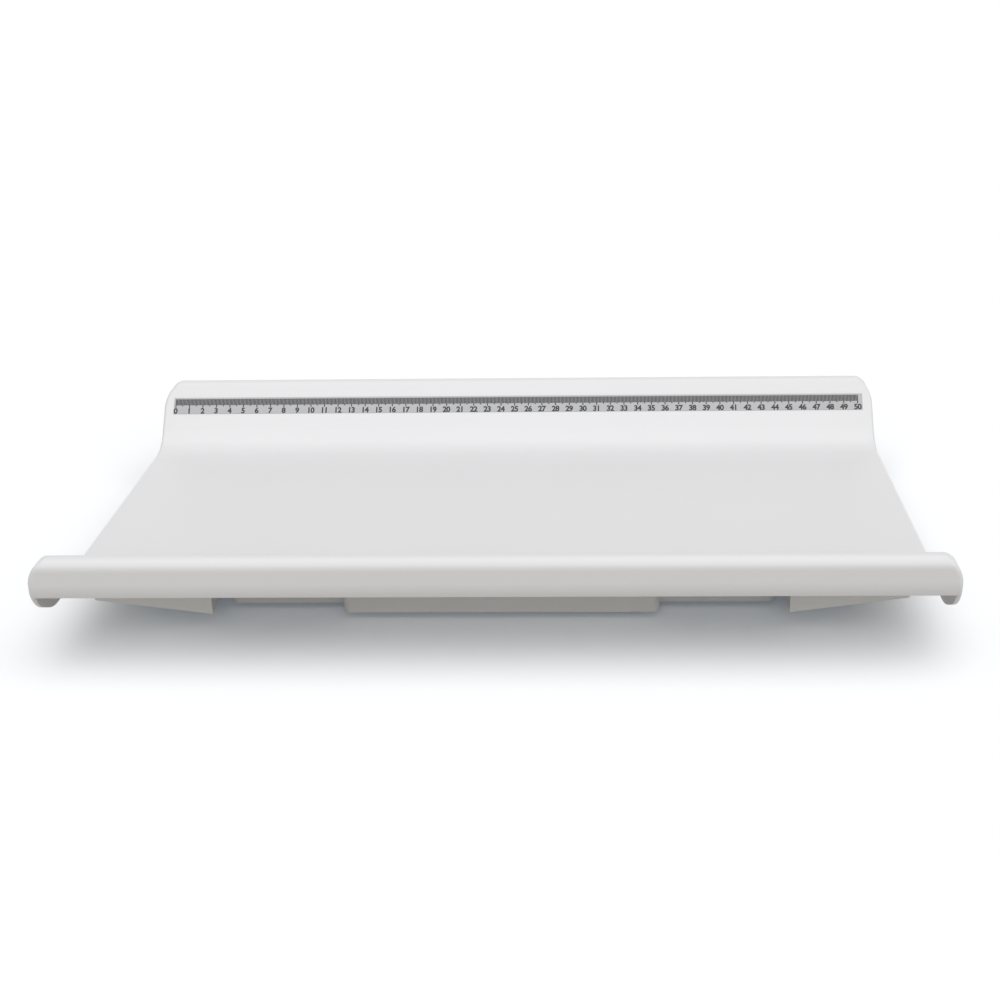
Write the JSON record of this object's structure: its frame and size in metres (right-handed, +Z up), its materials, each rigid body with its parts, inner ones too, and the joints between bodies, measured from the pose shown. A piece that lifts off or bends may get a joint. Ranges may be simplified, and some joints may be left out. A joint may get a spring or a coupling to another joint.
{
  "type": "digital baby weighing scale",
  "caption": "Low scale with a wide wave-shaped cradle that lifts off a flat load-cell base, a length ruler on its high wall, and a console with display and keys behind it.",
  "frame": {"origin": "on the table, under the middle of the whole scale's footprint", "axes": "+X along the cradle's length, +Y from the low front rim towards the console, +Z up"},
  "size_m": [0.52, 0.38, 0.0725],
  "materials": {
    "cradle_plastic": "white moulded plastic with a soft satin shine",
    "housing_plastic": "white moulded plastic, satin",
    "ruler_film": "silver-grey film with black graduations",
    "window_acrylic": "clear acrylic",
    "display_glass": "reflective liquid-crystal display, grey-green",
    "circuit_board": "green solder resist",
    "key_plastic": "grey-blue, fine matte",
    "switch_plastic": "black, matte",
    "holder_plastic": "light grey, matte",
    "cell_steel": "stamped steel, zinc plated",
    "contact_steel": "nickel plated",
    "screw_steel": "zinc plated",
    "battery_wrap": "printed film sleeve, dark",
    "sole_rubber": "grey rubber, matte",
    "lead_insulation": "flexible insulation, satin"
  },
  "bodies": {
    "base": {"base_top_cover": "housing_plastic", "base_bottom_cover": "housing_plastic", "base_screws": "screw_steel", "display_window": "window_acrylic", "display_module": "display_glass", "circuit_board": "circuit_board", "board_screws": "screw_steel", "battery_contacts": "contact_steel", "sensor_leads": "lead_insulation", "battery_leads": "lead_insulation", "battery_1": "battery_wrap", "battery_2": "battery_wrap", "battery_3": "battery_wrap", "battery_4": "battery_wrap", "switch_power": "switch_plastic", "switch_hold": "switch_plastic", "switch_unit": "switch_plastic", "foot_pad_front_left": "sole_rubber", "rest_pad_front_left": "sole_rubber", "foot_front_left": "holder_plastic", "load_cell_front_left": "cell_steel", "cell_holder_front_left": "holder_plastic", "foot_pad_front_right": "sole_rubber", "rest_pad_front_right": "sole_rubber", "foot_front_right": "holder_plastic", "load_cell_front_right": "cell_steel", "cell_holder_front_right": "holder_plastic", "foot_pad_back_left": "sole_rubber", "rest_pad_back_left": "sole_rubber", "foot_back_left": "holder_plastic", "load_cell_back_left": "cell_steel", "cell_holder_back_left": "holder_plastic", "foot_pad_back_right": "sole_rubber", "rest_pad_back_right": "sole_rubber", "foot_back_right": "holder_plastic", "load_cell_back_right": "cell_steel", "cell_holder_back_right": "holder_plastic"},
    "tray": {"tray_shell": "cradle_plastic", "ruler_strip": "ruler_film", "tray_rail_left": "housing_plastic", "tray_rail_right": "housing_plastic", "rail_screws": "screw_steel"},
    "key_power": {"key_power": "key_plastic", "plunger_power": "switch_plastic"},
    "key_hold": {"key_hold": "key_plastic", "plunger_hold": "switch_plastic"},
    "key_unit": {"key_unit": "key_plastic", "plunger_unit": "switch_plastic"},
    "battery_door": {"battery_door": "housing_plastic"}
  },
  "joints": [
    {"name": "tray_lift", "type": "slide", "parent": "base", "child": "tray", "axis": [0, 0, 1], "range_m": [0, 0.06]},
    {"name": "key_power_press", "type": "slide", "parent": "base", "child": "key_power", "axis": [0, -0.342, -0.9397], "range_m": [0, 0.0005], "stiffness_N_per_m": 1500, "springref_m": -0.0004},
    {"name": "key_hold_press", "type": "slide", "parent": "base", "child": "key_hold", "axis": [0, -0.342, -0.9397], "range_m": [0, 0.0005], "stiffness_N_per_m": 1500, "springref_m": -0.0004},
    {"name": "key_unit_press", "type": "slide", "parent": "base", "child": "key_unit", "axis": [0, -0.342, -0.9397], "range_m": [0, 0.0005], "stiffness_N_per_m": 1500, "springref_m": -0.0004},
    {"name": "battery_door_hinge", "type": "hinge", "parent": "base", "child": "battery_door", "pos_m": [0, -0.0772, 0.0037], "axis": [1, 0, 0], "range_deg": [0, 85]}
  ]
}
